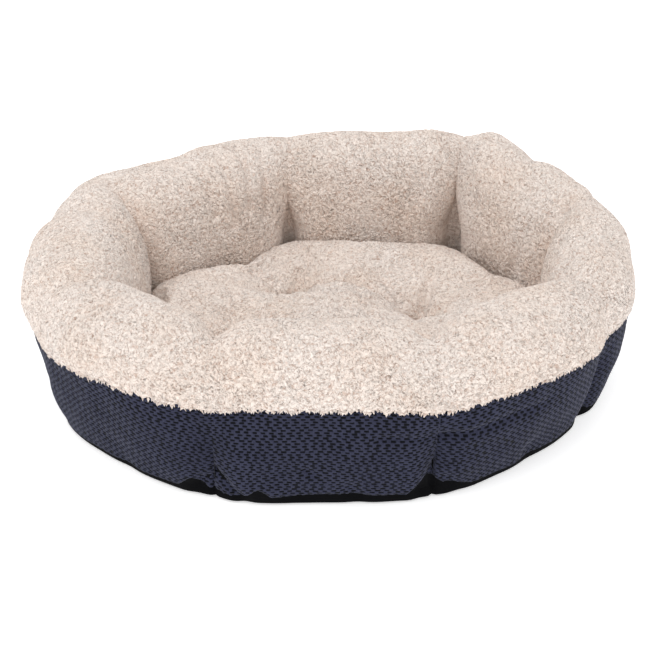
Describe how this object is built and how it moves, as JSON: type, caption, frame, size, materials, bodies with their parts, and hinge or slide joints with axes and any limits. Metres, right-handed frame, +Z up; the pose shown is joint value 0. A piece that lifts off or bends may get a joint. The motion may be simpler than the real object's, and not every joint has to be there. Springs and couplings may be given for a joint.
{
  "type": "pet cushion bed",
  "caption": "Oval pet bed: a ring of stuffed, fleece-lined wall pockets with knitted outer panels on a non-slip base, around a loose tufted fleece cushion.",
  "frame": {"origin": "under the middle of the outline, on the surface that the bed stands on", "axes": "+Z up, -Y towards the front of the bed, +X to the right, along the longer axis of the oval"},
  "size_m": [0.5218, 0.4672, 0.1491],
  "materials": {
    "sherpa_fleece": "curled cream fleece pile, matte",
    "navy_knit": "navy knitted mesh with slit-shaped cells, matte",
    "non_slip_cloth": "black cloth with small grip dots, matte",
    "plain_cloth": "plain woven cloth, matte",
    "polyester_fibre": "loose white fibre",
    "thread": "polyester sewing thread"
  },
  "bodies": {
    "bed": {"lining_panel_front": "sherpa_fleece", "outer_panel_front": "navy_knit", "wall_fill_front": "polyester_fibre", "lining_panel_front_right": "sherpa_fleece", "outer_panel_front_right": "navy_knit", "wall_fill_front_right": "polyester_fibre", "lining_panel_right": "sherpa_fleece", "outer_panel_right": "navy_knit", "wall_fill_right": "polyester_fibre", "lining_panel_back_right": "sherpa_fleece", "outer_panel_back_right": "navy_knit", "wall_fill_back_right": "polyester_fibre", "lining_panel_back": "sherpa_fleece", "outer_panel_back": "navy_knit", "wall_fill_back": "polyester_fibre", "lining_panel_back_left": "sherpa_fleece", "outer_panel_back_left": "navy_knit", "wall_fill_back_left": "polyester_fibre", "lining_panel_left": "sherpa_fleece", "outer_panel_left": "navy_knit", "wall_fill_left": "polyester_fibre", "lining_panel_front_left": "sherpa_fleece", "outer_panel_front_left": "navy_knit", "wall_fill_front_left": "polyester_fibre", "pocket_divider_front_left_to_front": "plain_cloth", "pocket_divider_front_to_front_right": "plain_cloth", "pocket_divider_front_right_to_right": "plain_cloth", "pocket_divider_right_to_back_right": "plain_cloth", "pocket_divider_back_right_to_back": "plain_cloth", "pocket_divider_back_to_back_left": "plain_cloth", "pocket_divider_back_left_to_left": "plain_cloth", "pocket_divider_left_to_front_left": "plain_cloth", "rim_seam_thread": "thread", "base_seam_thread": "thread", "base_cloth": "non_slip_cloth", "floor_lining": "plain_cloth"},
    "cushion": {"cushion_top": "sherpa_fleece", "cushion_bottom": "plain_cloth", "cushion_fill": "polyester_fibre", "cushion_seam_thread": "thread", "tuft_ties": "thread"}
  },
  "joints": [
    {"name": "cushion_lift_out", "type": "slide", "parent": "bed", "child": "cushion", "axis": [0, 0, 1], "range_m": [0, 0.17]}
  ]
}
